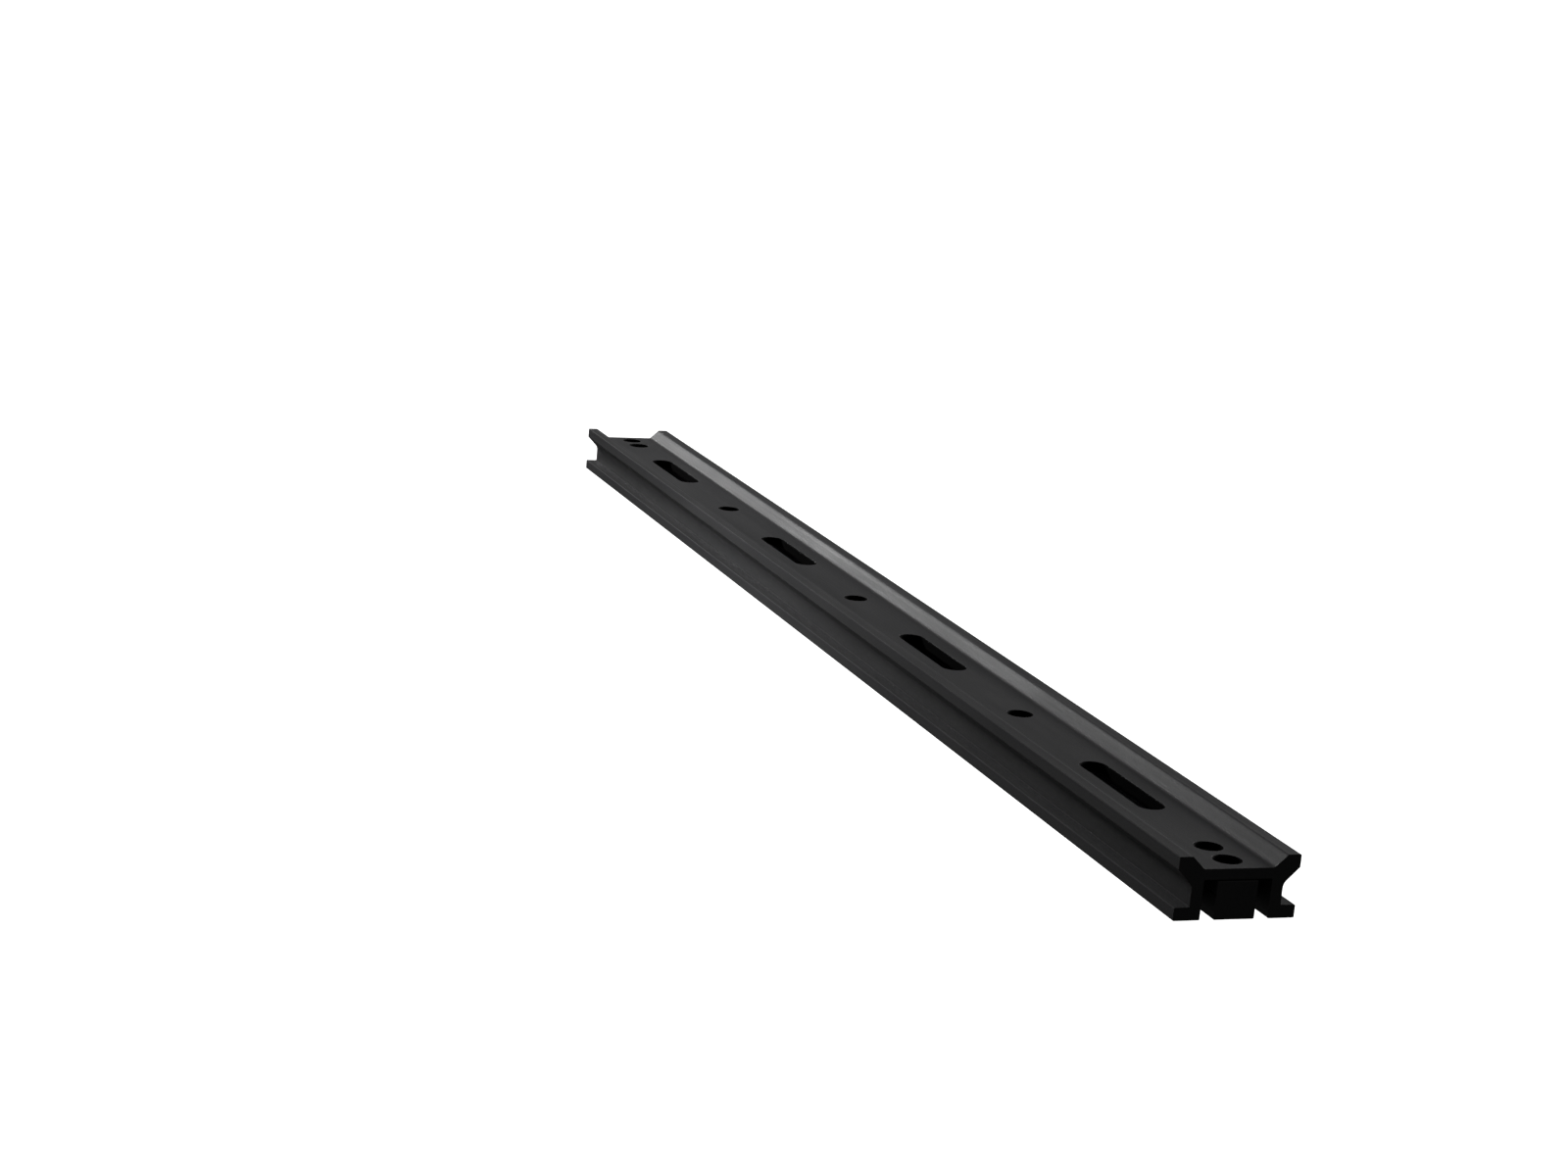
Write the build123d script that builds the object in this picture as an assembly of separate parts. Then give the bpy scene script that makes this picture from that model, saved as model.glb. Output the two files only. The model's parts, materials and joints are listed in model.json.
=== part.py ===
from build123d import *
import os
from math import atan2, degrees, hypot, sqrt

# Two-member ball-bearing drawer slide, closed. Millimetres.
# X runs along the slide, with the front (opening) end at +X. Z is up, and the trough of the
# cabinet member faces up. The origin is at the middle of the underside.

# ---------------------------------------------------------------- driving dimensions
RAIL_LENGTH = 500.0
RAIL_WIDTH = 30.6
RAIL_HEIGHT = 15.1

# cabinet member section, half of it: distances from the middle plane (Y) and from the underside (Z)
TROUGH_FLOOR_Z = 12.08
TROUGH_HALF_WIDTH = 8.83
LIP_INNER_Y = 12.03
LIP_FACE_BOTTOM_Z = 12.02
NECK_Y = 11.51
FOOT_THICKNESS = 3.15
LEG_INNER_Y = 8.58
WEB_UNDERSIDE_Z = 9.5
NECK_CORNER_R = 2.6
TROUGH_CORNER_R = 1.2
EDGE_BREAK_R = 0.3
HOLE_RIM_CHAMFER = 0.25
END_CHAMFER = 0.15

# mounting holes in the web
SLOT_WIDTH = 6.8
SLOT_LENGTH = 39.0
SLOT_SPACING = 125.0
HOLE_D = 6.6
HOLE_SPACING = 125.0
END_HOLE_INSET = 6.3
END_HOLE_PITCH = 9.4

# drawer member
BAR_HALF_WIDTH = 5.13
BAR_TOP_Z = 5.9
NOSE_LENGTH = 9.8
NOSE_TOP_Z = 9.2
NOSE_SCREW = {"shank_r": 1.25, "head_r": 2.2, "head_height": 1.3, "length": 8.4}
NOSE_SCREW_OFFSET = (2.2, 2.4)
DRAWER_SCREW_D = 4.2
DRAWER_SCREW_X = (50.0, 200.0)
DRAWER_SCREW_LEAD_IN = 0.4

# ball races
TRAVEL = 350.0
BALL_R = 2.0
ROD_R = 0.6
RUNNING_GAP = 0.03
RACE_Z = 2.95
RACE_FRONT_INSET = 12.0
BALL_RELIEF_R = 2.15
BALLS_PER_CAGE = 13
BALL_PITCH = 8.4
CAGE_THICKNESS = 1.4
CAGE_HEIGHT = 4.7
CAGE_LENGTH = 112.0
CAGE_HOLE_R = 2.06
CAGE_RIM_R = 2.3
CAGE_RIM_HEIGHT = 0.25

# stops
STOP_HALF_WIDTH = 8.25
FRONT_STOP_REAR_X = 228.0
FRONT_STOP_FRONT_X = 239.0
STOP_PASSAGE_TOP_Z = 7.9
STOP_PASSAGE_Y = (-6.2, 2.2)
EAR_Y = (5.95, 7.8)
EAR_BOTTOM_Z = 1.0
STUD_R = 3.25
STUD_HEIGHT = 0.9
REAR_STOP_LENGTH = 9.8
REAR_STOP_BOTTOM_Z = 0.4
BUMPER_THICKNESS = 3.0
BUMPER_WIDTH = 8.6
BUMPER_HEIGHT = 4.6
BUMPER_STEM_R = 1.4
BUMPER_STEM_LENGTH = 5.0
MOULDING_CHAMFER = 0.25
MOULDING_FILLET = 0.4
REAR_STOP_CHAMFER = 0.6
END_PLATE_THICKNESS = 1.5
END_PLATE_EAR_Y = 7.9
END_PLATE_EAR_HALF_HEIGHT = 1.6
END_PLATE_BOTTOM_Z = 0.3
END_PLATE_SCREW = {"shank_r": 1.0, "head_r": 1.9, "head_height": 0.9, "length": 7.0}
END_PLATE_SCREW_Y = 2.5
END_GAP = 0.2
REAR_POCKET_DEPTH = 2.0
REAR_POCKET_Y = (1.0, 6.8)
REAR_POCKET_Z = (1.9, 8.0)

# release lever
PIVOT_X = -105.0
LEVER_Z = (5.95, 6.65)
LEVER_ARM_HALF_WIDTH = 1.4
LEVER_HUB_R = 3.0
THUMB_ARM_LENGTH = 25.0
THUMB_PAD_R = 2.2
HOOK_Y = (-1.5, 4.6)
HOOK_LENGTH = 3.9
HOOK_GAP = 0.1
REAR_ARM_HALF_WIDTH = 1.5
PIVOT_PIN_R = 1.5
PIVOT_HEAD_R = 2.4
PIVOT_HEAD_Z = (6.7, 7.05)
PIVOT_BOTTOM_Z = 1.5
PIVOT_CLEARANCE = 0.05
POST_R = 0.5
POST_BOTTOM_Z = 3.0
STOP_POST_REACH = 12.0
SPRING_POST_OFFSET = (-3.0, -3.7)
SPRING_THICKNESS = 0.3
SPRING_TIP_INSET = 2.0
GRIP_RIB_WIDTH = 0.4
GRIP_RIB_HEIGHT = 0.2

# ---------------------------------------------------------------- derived places
FRONT_X = RAIL_LENGTH / 2
REAR_X = -RAIL_LENGTH / 2
HALF_WIDTH = RAIL_WIDTH / 2
NECK_TOP_Z = LIP_FACE_BOTTOM_Z - (HALF_WIDTH - NECK_Y)
RACE_Y = (LEG_INNER_Y + BAR_HALF_WIDTH) / 2
ROD_OFFSET = (BALL_R + ROD_R + RUNNING_GAP) / sqrt(2)
RACE_FRONT_X = FRONT_X - RACE_FRONT_INSET
NOSE_REAR_X = FRONT_X - NOSE_LENGTH
REAR_STOP_FRONT_X = REAR_X + REAR_STOP_LENGTH
END_PLATE_REAR_X = REAR_STOP_FRONT_X + BUMPER_THICKNESS + END_GAP
BAR_REAR_X = END_PLATE_REAR_X + END_PLATE_THICKNESS
OUTER_END_HOLE_X = FRONT_X - END_HOLE_INSET
INNER_END_HOLE_X = OUTER_END_HOLE_X - END_HOLE_PITCH
CAGE_CENTRE_X = (FRONT_STOP_REAR_X + BAR_REAR_X) / 2
HOOK_FRONT_X = FRONT_STOP_REAR_X - TRAVEL - HOOK_GAP
SIDES = {"left": -1, "right": 1}


# ---------------------------------------------------------------- helpers
def block(x, y, z):
    """A box from three (low, high) pairs."""
    size = [high - low for low, high in (x, y, z)]
    centre = [(high + low) / 2 for low, high in (x, y, z)]
    return Pos(*centre) * Box(*size)


def along_x(outline, start, end):
    """A prism of an outline drawn in the Y-Z plane, from x = start to x = end."""
    return extrude(Plane.YZ.offset(start) * outline, end - start)


def upright(outline, bottom, top):
    """A prism of an outline drawn in the X-Y plane, from z = bottom to z = top."""
    return extrude(Pos(0, 0, bottom) * outline, top - bottom)


def rod(start, end, y, z, radius):
    """A round bar along X."""
    return along_x(Pos(y, z) * Circle(radius), start, end)


def pillar(x, y, bottom, top, radius):
    """A round bar along Z."""
    return upright(Pos(x, y) * Circle(radius), bottom, top)


def corners_at(outline, places):
    """The outline's corners that lie at the given places, on both sides of the middle plane."""
    tolerance = 0.01
    wanted = []
    for corner in outline.vertices():
        for y, z in places:
            if abs(abs(corner.X) - y) < tolerance and abs(corner.Y - z) < tolerance:
                wanted.append(corner)
    return wanted


def countersunk_screw(shank_r, head_r, head_height, length):
    """A screw with its flat head's face at z = 0 and its shank towards +Z."""
    head = Pos(0, 0, head_height / 2) * Cone(head_r, shank_r, head_height)
    shank = Pos(0, 0, length / 2) * Cylinder(shank_r, length)
    socket = upright(RegularPolygon(0.45 * head_r, 6), 0, 0.7 * head_height)
    return head + shank - socket


def screw_hole(shank_r, head_r, head_height, length):
    """The countersunk hole that such a screw fills."""
    head = Pos(0, 0, head_height / 2) * Cone(head_r, shank_r, head_height)
    return head + Pos(0, 0, length / 2) * Cylinder(shank_r, length)


def as_group(solids):
    """Several separate solids as one node."""
    return Compound(children=list(solids))


# ---------------------------------------------------------------- ball races
def race_cut(start, end):
    """What the ball races take out of a member: a relief for the balls and a seat for each rod."""
    cut = Part()
    for side in SIDES.values():
        cut += rod(start, end, side * RACE_Y, RACE_Z, BALL_RELIEF_R)
        for outward in (-1, 1):
            for upward in (-1, 1):
                y = side * (RACE_Y + outward * ROD_OFFSET)
                cut += rod(start, end, y, RACE_Z + upward * ROD_OFFSET, ROD_R)
    return cut


def race_rods(side, outward, start, end):
    """The pair of rods on one side of one row of balls: outward is 1 for the leg and -1 for the bar."""
    y = side * (RACE_Y + outward * ROD_OFFSET)
    rods = [rod(start, end, y, RACE_Z + upward * ROD_OFFSET, ROD_R) for upward in (-1, 1)]
    return as_group(chamfer(r.edges().filter_by(GeomType.CIRCLE), END_CHAMFER) for r in rods)


def ball_places():
    """The ball centres along X."""
    first = CAGE_CENTRE_X - BALL_PITCH * (BALLS_PER_CAGE - 1) / 2
    return [first + BALL_PITCH * i for i in range(BALLS_PER_CAGE)]


def balls(side):
    return as_group(Pos(x, side * RACE_Y, RACE_Z) * Sphere(BALL_R) for x in ball_places())


def ball_cage(side):
    """A flat strip with rounded ends and one round pocket per ball, each with a raised rim on both faces."""
    strip = RectangleRounded(CAGE_LENGTH, CAGE_HEIGHT, 1.2)
    rims = Sketch()
    pockets = Sketch()
    for x in ball_places():
        place = Pos(x - CAGE_CENTRE_X, 0)
        rims += place * Circle(CAGE_RIM_R)
        pockets += place * Circle(CAGE_HOLE_R)
    plane = Plane((CAGE_CENTRE_X, side * RACE_Y, RACE_Z), x_dir=(1, 0, 0), z_dir=(0, -1, 0))
    cage = extrude(plane * strip, CAGE_THICKNESS / 2, both=True)
    rim_reach = CAGE_THICKNESS / 2 + CAGE_RIM_HEIGHT
    cage += extrude(plane * rims, rim_reach, both=True)
    return cage - extrude(plane * pockets, rim_reach, both=True)


# ---------------------------------------------------------------- cabinet member
def rail_outline():
    """The cabinet member's section: trough, lips, undercuts, necks, feet and the channel below."""
    half = [
        (TROUGH_HALF_WIDTH, TROUGH_FLOOR_Z),
        (LIP_INNER_Y, RAIL_HEIGHT),
        (HALF_WIDTH, RAIL_HEIGHT),
        (HALF_WIDTH, LIP_FACE_BOTTOM_Z),
        (NECK_Y, NECK_TOP_Z),
        (NECK_Y, FOOT_THICKNESS),
        (HALF_WIDTH, FOOT_THICKNESS),
        (HALF_WIDTH, 0),
        (LEG_INNER_Y, 0),
        (LEG_INNER_Y, WEB_UNDERSIDE_Z),
    ]
    mirrored = [(-y, z) for y, z in reversed(half)]
    outline = make_face(Polyline(*half, *mirrored, close=True))
    outline = fillet(corners_at(outline, [(NECK_Y, NECK_TOP_Z)]), NECK_CORNER_R)
    outline = fillet(corners_at(outline, [(TROUGH_HALF_WIDTH, TROUGH_FLOOR_Z)]), TROUGH_CORNER_R)
    return fillet(
        corners_at(
            outline,
            [
                (LIP_INNER_Y, RAIL_HEIGHT),
                (HALF_WIDTH, RAIL_HEIGHT),
                (HALF_WIDTH, LIP_FACE_BOTTOM_Z),
                (NECK_Y, FOOT_THICKNESS),
                (HALF_WIDTH, FOOT_THICKNESS),
                (HALF_WIDTH, 0),
                (LEG_INNER_Y, 0),
                (LEG_INNER_Y, WEB_UNDERSIDE_Z),
            ],
        ),
        EDGE_BREAK_R,
    )


def web_holes():
    """The slots and round holes along the middle of the web, as one cutting outline."""
    outline = Sketch()
    for step in (-1.5, -0.5, 0.5, 1.5):
        outline += Pos(step * SLOT_SPACING, 0) * SlotOverall(SLOT_LENGTH, SLOT_WIDTH)
    for step in (-1, 0, 1):
        outline += Pos(step * HOLE_SPACING, 0) * Circle(HOLE_D / 2)
    for x in (INNER_END_HOLE_X, OUTER_END_HOLE_X):
        for end in (-1, 1):
            outline += Pos(end * x, 0) * Circle(HOLE_D / 2)
    return outline


def cabinet_rail():
    rail = along_x(rail_outline(), REAR_X, FRONT_X)
    for end_face in (rail.faces().sort_by(Axis.X)[-1], rail.faces().sort_by(Axis.X)[0]):
        rail = chamfer(end_face.edges(), END_CHAMFER)
    rail -= upright(web_holes(), WEB_UNDERSIDE_Z - 1, RAIL_HEIGHT)
    rims = [
        edge
        for edge in rail.edges()
        if abs(edge.center().Z - TROUGH_FLOOR_Z) < 0.01 and abs(edge.center().Y) < HOLE_D
    ]
    hole_rims = [edge for edge in rims if abs(edge.center().X) < OUTER_END_HOLE_X + HOLE_D / 2]
    rail = chamfer(hole_rims, HOLE_RIM_CHAMFER)
    return rail - race_cut(REAR_X, RACE_FRONT_X)


def front_stop():
    """A moulding under the front of the web. It bridges the lever's passage, its right shoulder
    catches the lever's hook, and its two ears hang in the gaps in front of the ball cages."""
    x = (FRONT_STOP_REAR_X, FRONT_STOP_FRONT_X)
    stop = block(x, (-STOP_HALF_WIDTH, STOP_HALF_WIDTH), (BAR_TOP_Z + 0.3, WEB_UNDERSIDE_Z))
    stop -= block(x, STOP_PASSAGE_Y, (BAR_TOP_Z, STOP_PASSAGE_TOP_Z))
    for side in SIDES.values():
        ear_y = sorted(side * y for y in EAR_Y)
        stop += block(x, ear_y, (EAR_BOTTOM_Z, BAR_TOP_Z + 0.5))
    stop = chamfer(stop.faces().sort_by(Axis.X)[0].edges(), MOULDING_CHAMFER)
    ear_tips = stop.edges().filter_by_position(Axis.Z, EAR_BOTTOM_Z, EAR_BOTTOM_Z)
    stop = fillet(ear_tips, MOULDING_FILLET)
    stop += pillar(INNER_END_HOLE_X, 0, WEB_UNDERSIDE_Z, WEB_UNDERSIDE_Z + STUD_HEIGHT, STUD_R)
    return stop


def rear_stop():
    """The moulding that closes the rear of the cabinet member, with a socket for the bumper's stem."""
    x = (REAR_X, REAR_STOP_FRONT_X)
    stop = block(x, (-STOP_HALF_WIDTH, STOP_HALF_WIDTH), (REAR_STOP_BOTTOM_Z, WEB_UNDERSIDE_Z))
    stop = chamfer(stop.faces().sort_by(Axis.X)[0].edges(), REAR_STOP_CHAMFER)
    for side in SIDES.values():
        pocket_y = sorted(side * y for y in REAR_POCKET_Y)
        pocket = block((REAR_X, REAR_X + REAR_POCKET_DEPTH), pocket_y, REAR_POCKET_Z)
        stop -= fillet(pocket.edges().filter_by(Axis.X), 2 * MOULDING_FILLET)
    stop += pillar(-OUTER_END_HOLE_X, 0, WEB_UNDERSIDE_Z, WEB_UNDERSIDE_Z + STUD_HEIGHT, STUD_R)
    return stop - bumper_stem()


def bumper_stem():
    return rod(REAR_STOP_FRONT_X - BUMPER_STEM_LENGTH, REAR_STOP_FRONT_X, 0, RACE_Z, BUMPER_STEM_R)


def rear_bumper():
    """A rubber pad with rounded corners and a push-in stem."""
    outline = Pos(0, RACE_Z) * RectangleRounded(BUMPER_WIDTH, BUMPER_HEIGHT, 3 * MOULDING_FILLET)
    pad = along_x(outline, REAR_STOP_FRONT_X, REAR_STOP_FRONT_X + BUMPER_THICKNESS)
    pad = fillet(pad.faces().sort_by(Axis.X)[-1].edges(), MOULDING_FILLET)
    return pad + bumper_stem()


# ---------------------------------------------------------------- drawer member
def nose_screw_places():
    """Two screws set across a diagonal of the nose block, driven up from the underside."""
    middle = (NOSE_REAR_X + FRONT_X) / 2
    offset_x, offset_y = NOSE_SCREW_OFFSET
    return [Pos(middle + end * offset_x, end * offset_y, 0) for end in (-1, 1)]


def end_plate_screw_places():
    """Two screws driven forward through the end plate."""
    forward = Rot(0, 90, 0)
    return [Pos(END_PLATE_REAR_X, end * END_PLATE_SCREW_Y, RACE_Z) * forward for end in (-1, 1)]


def bar_holes():
    """Every hole in the bar: drawer screws, lever pins and the two sets of fixing screws."""
    holes = Part()
    for x in DRAWER_SCREW_X:
        for end in (-1, 1):
            holes += pillar(end * x, 0, -1, BAR_TOP_Z + 1, DRAWER_SCREW_D / 2)
            wide_r = DRAWER_SCREW_D / 2 + DRAWER_SCREW_LEAD_IN
            lead_in = Cone(wide_r, DRAWER_SCREW_D / 2, DRAWER_SCREW_LEAD_IN)
            holes += Pos(end * x, 0, DRAWER_SCREW_LEAD_IN / 2) * lead_in
    holes += pillar(PIVOT_X, 0, PIVOT_BOTTOM_Z, BAR_TOP_Z + 1, PIVOT_PIN_R)
    for x, y in post_places():
        holes += pillar(x, y, POST_BOTTOM_Z, BAR_TOP_Z + 1, POST_R)
    for place in nose_screw_places():
        holes += place * screw_hole(**NOSE_SCREW)
    for place in end_plate_screw_places():
        holes += place * screw_hole(**END_PLATE_SCREW)
    return holes


def drawer_rail():
    outline = Pos(0, BAR_TOP_Z / 2) * RectangleRounded(2 * BAR_HALF_WIDTH, BAR_TOP_Z, EDGE_BREAK_R)
    bar = along_x(outline, BAR_REAR_X, FRONT_X)
    return bar - race_cut(BAR_REAR_X, RACE_FRONT_X) - bar_holes()


def nose_block():
    """The block that fills the front of the channel up to the web when the slide is closed."""
    nose = block(
        (NOSE_REAR_X, FRONT_X),
        (-BAR_HALF_WIDTH, BAR_HALF_WIDTH),
        (BAR_TOP_Z, NOSE_TOP_Z),
    )
    top = nose.faces().sort_by(Axis.Z)[-1]
    nose = fillet(top.edges(), EDGE_BREAK_R)
    for place in nose_screw_places():
        nose -= place * screw_hole(**NOSE_SCREW)
    return nose


def nose_screws():
    return as_group(place * countersunk_screw(**NOSE_SCREW) for place in nose_screw_places())


def end_plate():
    """Covers the rear ends of the bar's rods; its ears reach across the gaps behind the cages."""
    x = (END_PLATE_REAR_X, BAR_REAR_X)
    plate = block(x, (-BAR_HALF_WIDTH, BAR_HALF_WIDTH), (END_PLATE_BOTTOM_Z, BAR_TOP_Z))
    ear_z = (RACE_Z - END_PLATE_EAR_HALF_HEIGHT, RACE_Z + END_PLATE_EAR_HALF_HEIGHT)
    ears = block(x, (-END_PLATE_EAR_Y, END_PLATE_EAR_Y), ear_z)
    plate += fillet(ears.edges().filter_by(Axis.X), MOULDING_FILLET)
    for place in end_plate_screw_places():
        plate -= place * screw_hole(**END_PLATE_SCREW)
    return plate


def end_plate_screws():
    return as_group(place * countersunk_screw(**END_PLATE_SCREW) for place in end_plate_screw_places())


# ---------------------------------------------------------------- release lever
def post_places():
    """The post that stops the lever, and the post that holds the spring."""
    stop_post = (PIVOT_X + STOP_POST_REACH, -LEVER_ARM_HALF_WIDTH - POST_R - HOOK_GAP)
    return [stop_post, spring_anchor()]


def spring_anchor():
    return (PIVOT_X + SPRING_POST_OFFSET[0], SPRING_POST_OFFSET[1])


def release_lever():
    """A flat lever: a thumb pad in front of the pivot and a hook behind it."""
    arm_end = HOOK_FRONT_X - HOOK_LENGTH
    pad_x = PIVOT_X + THUMB_ARM_LENGTH
    rear_arm = Pos((arm_end + PIVOT_X) / 2, 0) * Rectangle(PIVOT_X - arm_end, 2 * REAR_ARM_HALF_WIDTH)
    front_arm = Pos((PIVOT_X + pad_x) / 2, 0) * Rectangle(THUMB_ARM_LENGTH, 2 * LEVER_ARM_HALF_WIDTH)
    hook = Pos(arm_end + HOOK_LENGTH / 2, sum(HOOK_Y) / 2) * Rectangle(HOOK_LENGTH, HOOK_Y[1] - HOOK_Y[0])
    outline = rear_arm + front_arm + fillet(hook.vertices(), MOULDING_FILLET)
    outline += Pos(PIVOT_X, 0) * Circle(LEVER_HUB_R)
    outline += Pos(pad_x, 0) * Circle(THUMB_PAD_R)
    outline -= Pos(PIVOT_X, 0) * Circle(PIVOT_PIN_R + PIVOT_CLEARANCE)
    lever = upright(outline, *LEVER_Z)
    for step in (-1, 0, 1):
        rib = Pos(pad_x + step * 2 * GRIP_RIB_WIDTH, 0) * Rectangle(GRIP_RIB_WIDTH, 2 * LEVER_ARM_HALF_WIDTH)
        lever += upright(rib, LEVER_Z[1], LEVER_Z[1] + GRIP_RIB_HEIGHT)
    return lever


def lever_pivot_pin():
    pin = pillar(PIVOT_X, 0, PIVOT_BOTTOM_Z, PIVOT_HEAD_Z[1], PIVOT_PIN_R)
    pin += pillar(PIVOT_X, 0, *PIVOT_HEAD_Z, PIVOT_HEAD_R)
    return chamfer(pin.faces().sort_by(Axis.Z)[-1].edges(), END_CHAMFER)


def lever_posts():
    return as_group(pillar(x, y, POST_BOTTOM_Z, LEVER_Z[1], POST_R) for x, y in post_places())


def lever_spring():
    """A leaf whose eye sits on its post and whose tip leans on the side of the rear arm."""
    anchor_x, anchor_y = spring_anchor()
    tip_x = HOOK_FRONT_X + SPRING_TIP_INSET
    tip_y = -REAR_ARM_HALF_WIDTH - SPRING_THICKNESS / 2 - PIVOT_CLEARANCE
    run_x, run_y = tip_x - anchor_x, tip_y - anchor_y
    middle = Pos((anchor_x + tip_x) / 2, (anchor_y + tip_y) / 2)
    leaf = middle * Rot(0, 0, degrees(atan2(run_y, run_x))) * Rectangle(hypot(run_x, run_y), SPRING_THICKNESS)
    outline = leaf + Pos(anchor_x, anchor_y) * Circle(POST_R + SPRING_THICKNESS)
    outline -= Pos(anchor_x, anchor_y) * Circle(POST_R)
    return upright(outline, *LEVER_Z)


# ---------------------------------------------------------------- write one file per node
nodes = {
    "cabinet_rail": cabinet_rail(),
    "front_stop": front_stop(),
    "rear_stop": rear_stop(),
    "rear_bumper": rear_bumper(),
    "drawer_rail": drawer_rail(),
    "nose_block": nose_block(),
    "nose_screws": nose_screws(),
    "end_plate": end_plate(),
    "end_plate_screws": end_plate_screws(),
    "release_lever": release_lever(),
    "lever_pivot_pin": lever_pivot_pin(),
    "lever_posts": lever_posts(),
    "lever_spring": lever_spring(),
}
for name, side in SIDES.items():
    nodes[f"cabinet_race_rods_{name}"] = race_rods(side, 1, REAR_STOP_FRONT_X, RACE_FRONT_X)
    nodes[f"drawer_race_rods_{name}"] = race_rods(side, -1, BAR_REAR_X, RACE_FRONT_X)
    nodes[f"ball_cage_{name}"] = ball_cage(side)
    nodes[f"balls_{name}"] = balls(side)

os.makedirs("parts", exist_ok=True)
for name, shape in nodes.items():
    export_step(shape, f"parts/{name}.step")
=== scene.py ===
import json
import math

import bmesh
import bpy
from mathutils import Matrix, Vector


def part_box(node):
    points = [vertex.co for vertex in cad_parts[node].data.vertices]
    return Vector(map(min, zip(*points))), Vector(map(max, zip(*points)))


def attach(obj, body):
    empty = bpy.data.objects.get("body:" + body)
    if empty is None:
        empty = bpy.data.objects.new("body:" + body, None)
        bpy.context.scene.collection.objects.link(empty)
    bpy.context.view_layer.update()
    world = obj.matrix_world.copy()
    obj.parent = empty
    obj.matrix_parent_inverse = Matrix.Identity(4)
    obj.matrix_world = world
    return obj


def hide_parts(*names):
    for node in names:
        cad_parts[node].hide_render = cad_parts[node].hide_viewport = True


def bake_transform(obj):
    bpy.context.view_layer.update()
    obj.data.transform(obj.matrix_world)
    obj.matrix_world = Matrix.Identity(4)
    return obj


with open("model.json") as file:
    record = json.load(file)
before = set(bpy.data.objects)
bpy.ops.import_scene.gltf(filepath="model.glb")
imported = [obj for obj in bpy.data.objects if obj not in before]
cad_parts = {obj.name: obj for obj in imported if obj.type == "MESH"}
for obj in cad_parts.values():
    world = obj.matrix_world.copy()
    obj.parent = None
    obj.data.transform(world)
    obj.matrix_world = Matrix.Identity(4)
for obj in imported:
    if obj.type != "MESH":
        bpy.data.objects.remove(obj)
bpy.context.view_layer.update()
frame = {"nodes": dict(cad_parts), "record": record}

MM = 0.001

# ---------------------------------------------------------------- places read from the frame
RAIL_HALF_LENGTH, RAIL_HALF_WIDTH, RAIL_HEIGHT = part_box("cabinet_rail")[1]
BAR_LOW, BAR_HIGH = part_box("drawer_rail")
BALLS_LOW, BALLS_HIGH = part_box("balls_left")
BALL_RADIUS = (BALLS_HIGH.z - BALLS_LOW.z) / 2
RACE_Y = abs(BALLS_HIGH.y + BALLS_LOW.y) / 2
RACE_Z = (BALLS_HIGH.z + BALLS_LOW.z) / 2
LEVER_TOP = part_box("release_lever")[1].z
SPRING_LOW, SPRING_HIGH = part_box("lever_spring")

# The cabinet rail's section, in the CAD model's sizes: distances from the middle plane, and heights.
LIP_INNER_Y = 12.03 * MM
LIP_FACE_BOTTOM_Z = 12.02 * MM
NECK_Y = 11.51 * MM
FOOT_THICKNESS = 3.15 * MM
TROUGH_FLOOR_Z = 12.08 * MM
WEB_UNDERSIDE_Z = 9.5 * MM
# The holes in the web and their rims lie within this distance from the middle plane.
HOLE_REACH_Y = 3.8 * MM

# ---------------------------------------------------------------- camera
CAMERA_PLACE = Vector((0.8168, -0.3216, 0.2132))
CAMERA_AZIMUTH = -20.07
CAMERA_ELEVATION = 12.84
CAMERA_ROLL = 5.25
CAMERA_LENS = 68.75
SENSOR_WIDTH = 36.0

# ---------------------------------------------------------------- studio
FLOOR_SIZE = 400.0
FLOOR_COLOUR = (0.9, 0.9, 0.9, 1.0)
FLOOR_WASH = 5.0
FLOOR_WASH_SPREAD = 30.0
WORLD_COLOUR = (1.0, 1.0, 1.0, 1.0)
WORLD_REAR = 0.06
WORLD_FRONT = 0.005
WORLD_FADE_START = -0.2
WORLD_FADE_END = 1.0
KEY_PLACE = (-1.13, -0.30, 0.46)
KEY_SHEEN_POWER = 8.6
BULB_OVERSTATED = 8.0
# Each softbox is its place, its size in metres and its power in watts.
KEY_SOFT = (KEY_PLACE, (0.5, 0.4), 40.0)
SIDE_GLOW = ((-0.08, -0.16, 0.06), (0.10, 0.06), 0.37)
RIGHT_FILL = ((-0.4, 1.6, 0.6), (1.0, 0.8), 23.0)
FRONT_FILL = ((1.6, 0.5, 0.5), (0.8, 0.8), 0.6)
STEEL_OVERHEAD = ((0.0, 0.0, 0.9), (1.6, 0.5), 6.0)
STEEL_LEFT = ((0.3, -1.0, 0.4), (1.2, 0.4), 6.0)
# Parts with these material slots are lit without steel_overhead and steel_left.
BLACK_SLOTS = ("black_anodised", "black_acetal", "black_rubber")


def new_object(name, data):
    thing = bpy.data.objects.new(name, data)
    bpy.context.scene.collection.objects.link(thing)
    return thing


def make_camera():
    data = bpy.data.cameras.new("camera")
    data.lens = CAMERA_LENS
    data.sensor_width = SENSOR_WIDTH
    data.clip_start = 0.01
    data.clip_end = 2 * FLOOR_SIZE
    camera = new_object("camera", data)
    turn = Matrix.Rotation(math.radians(CAMERA_AZIMUTH + 90), 4, "Z")
    tilt = Matrix.Rotation(math.radians(90 - CAMERA_ELEVATION), 4, "X")
    roll = Matrix.Rotation(math.radians(CAMERA_ROLL), 4, "Z")
    camera.matrix_world = Matrix.Translation(CAMERA_PLACE) @ turn @ tilt @ roll
    bpy.context.scene.camera = camera


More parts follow.
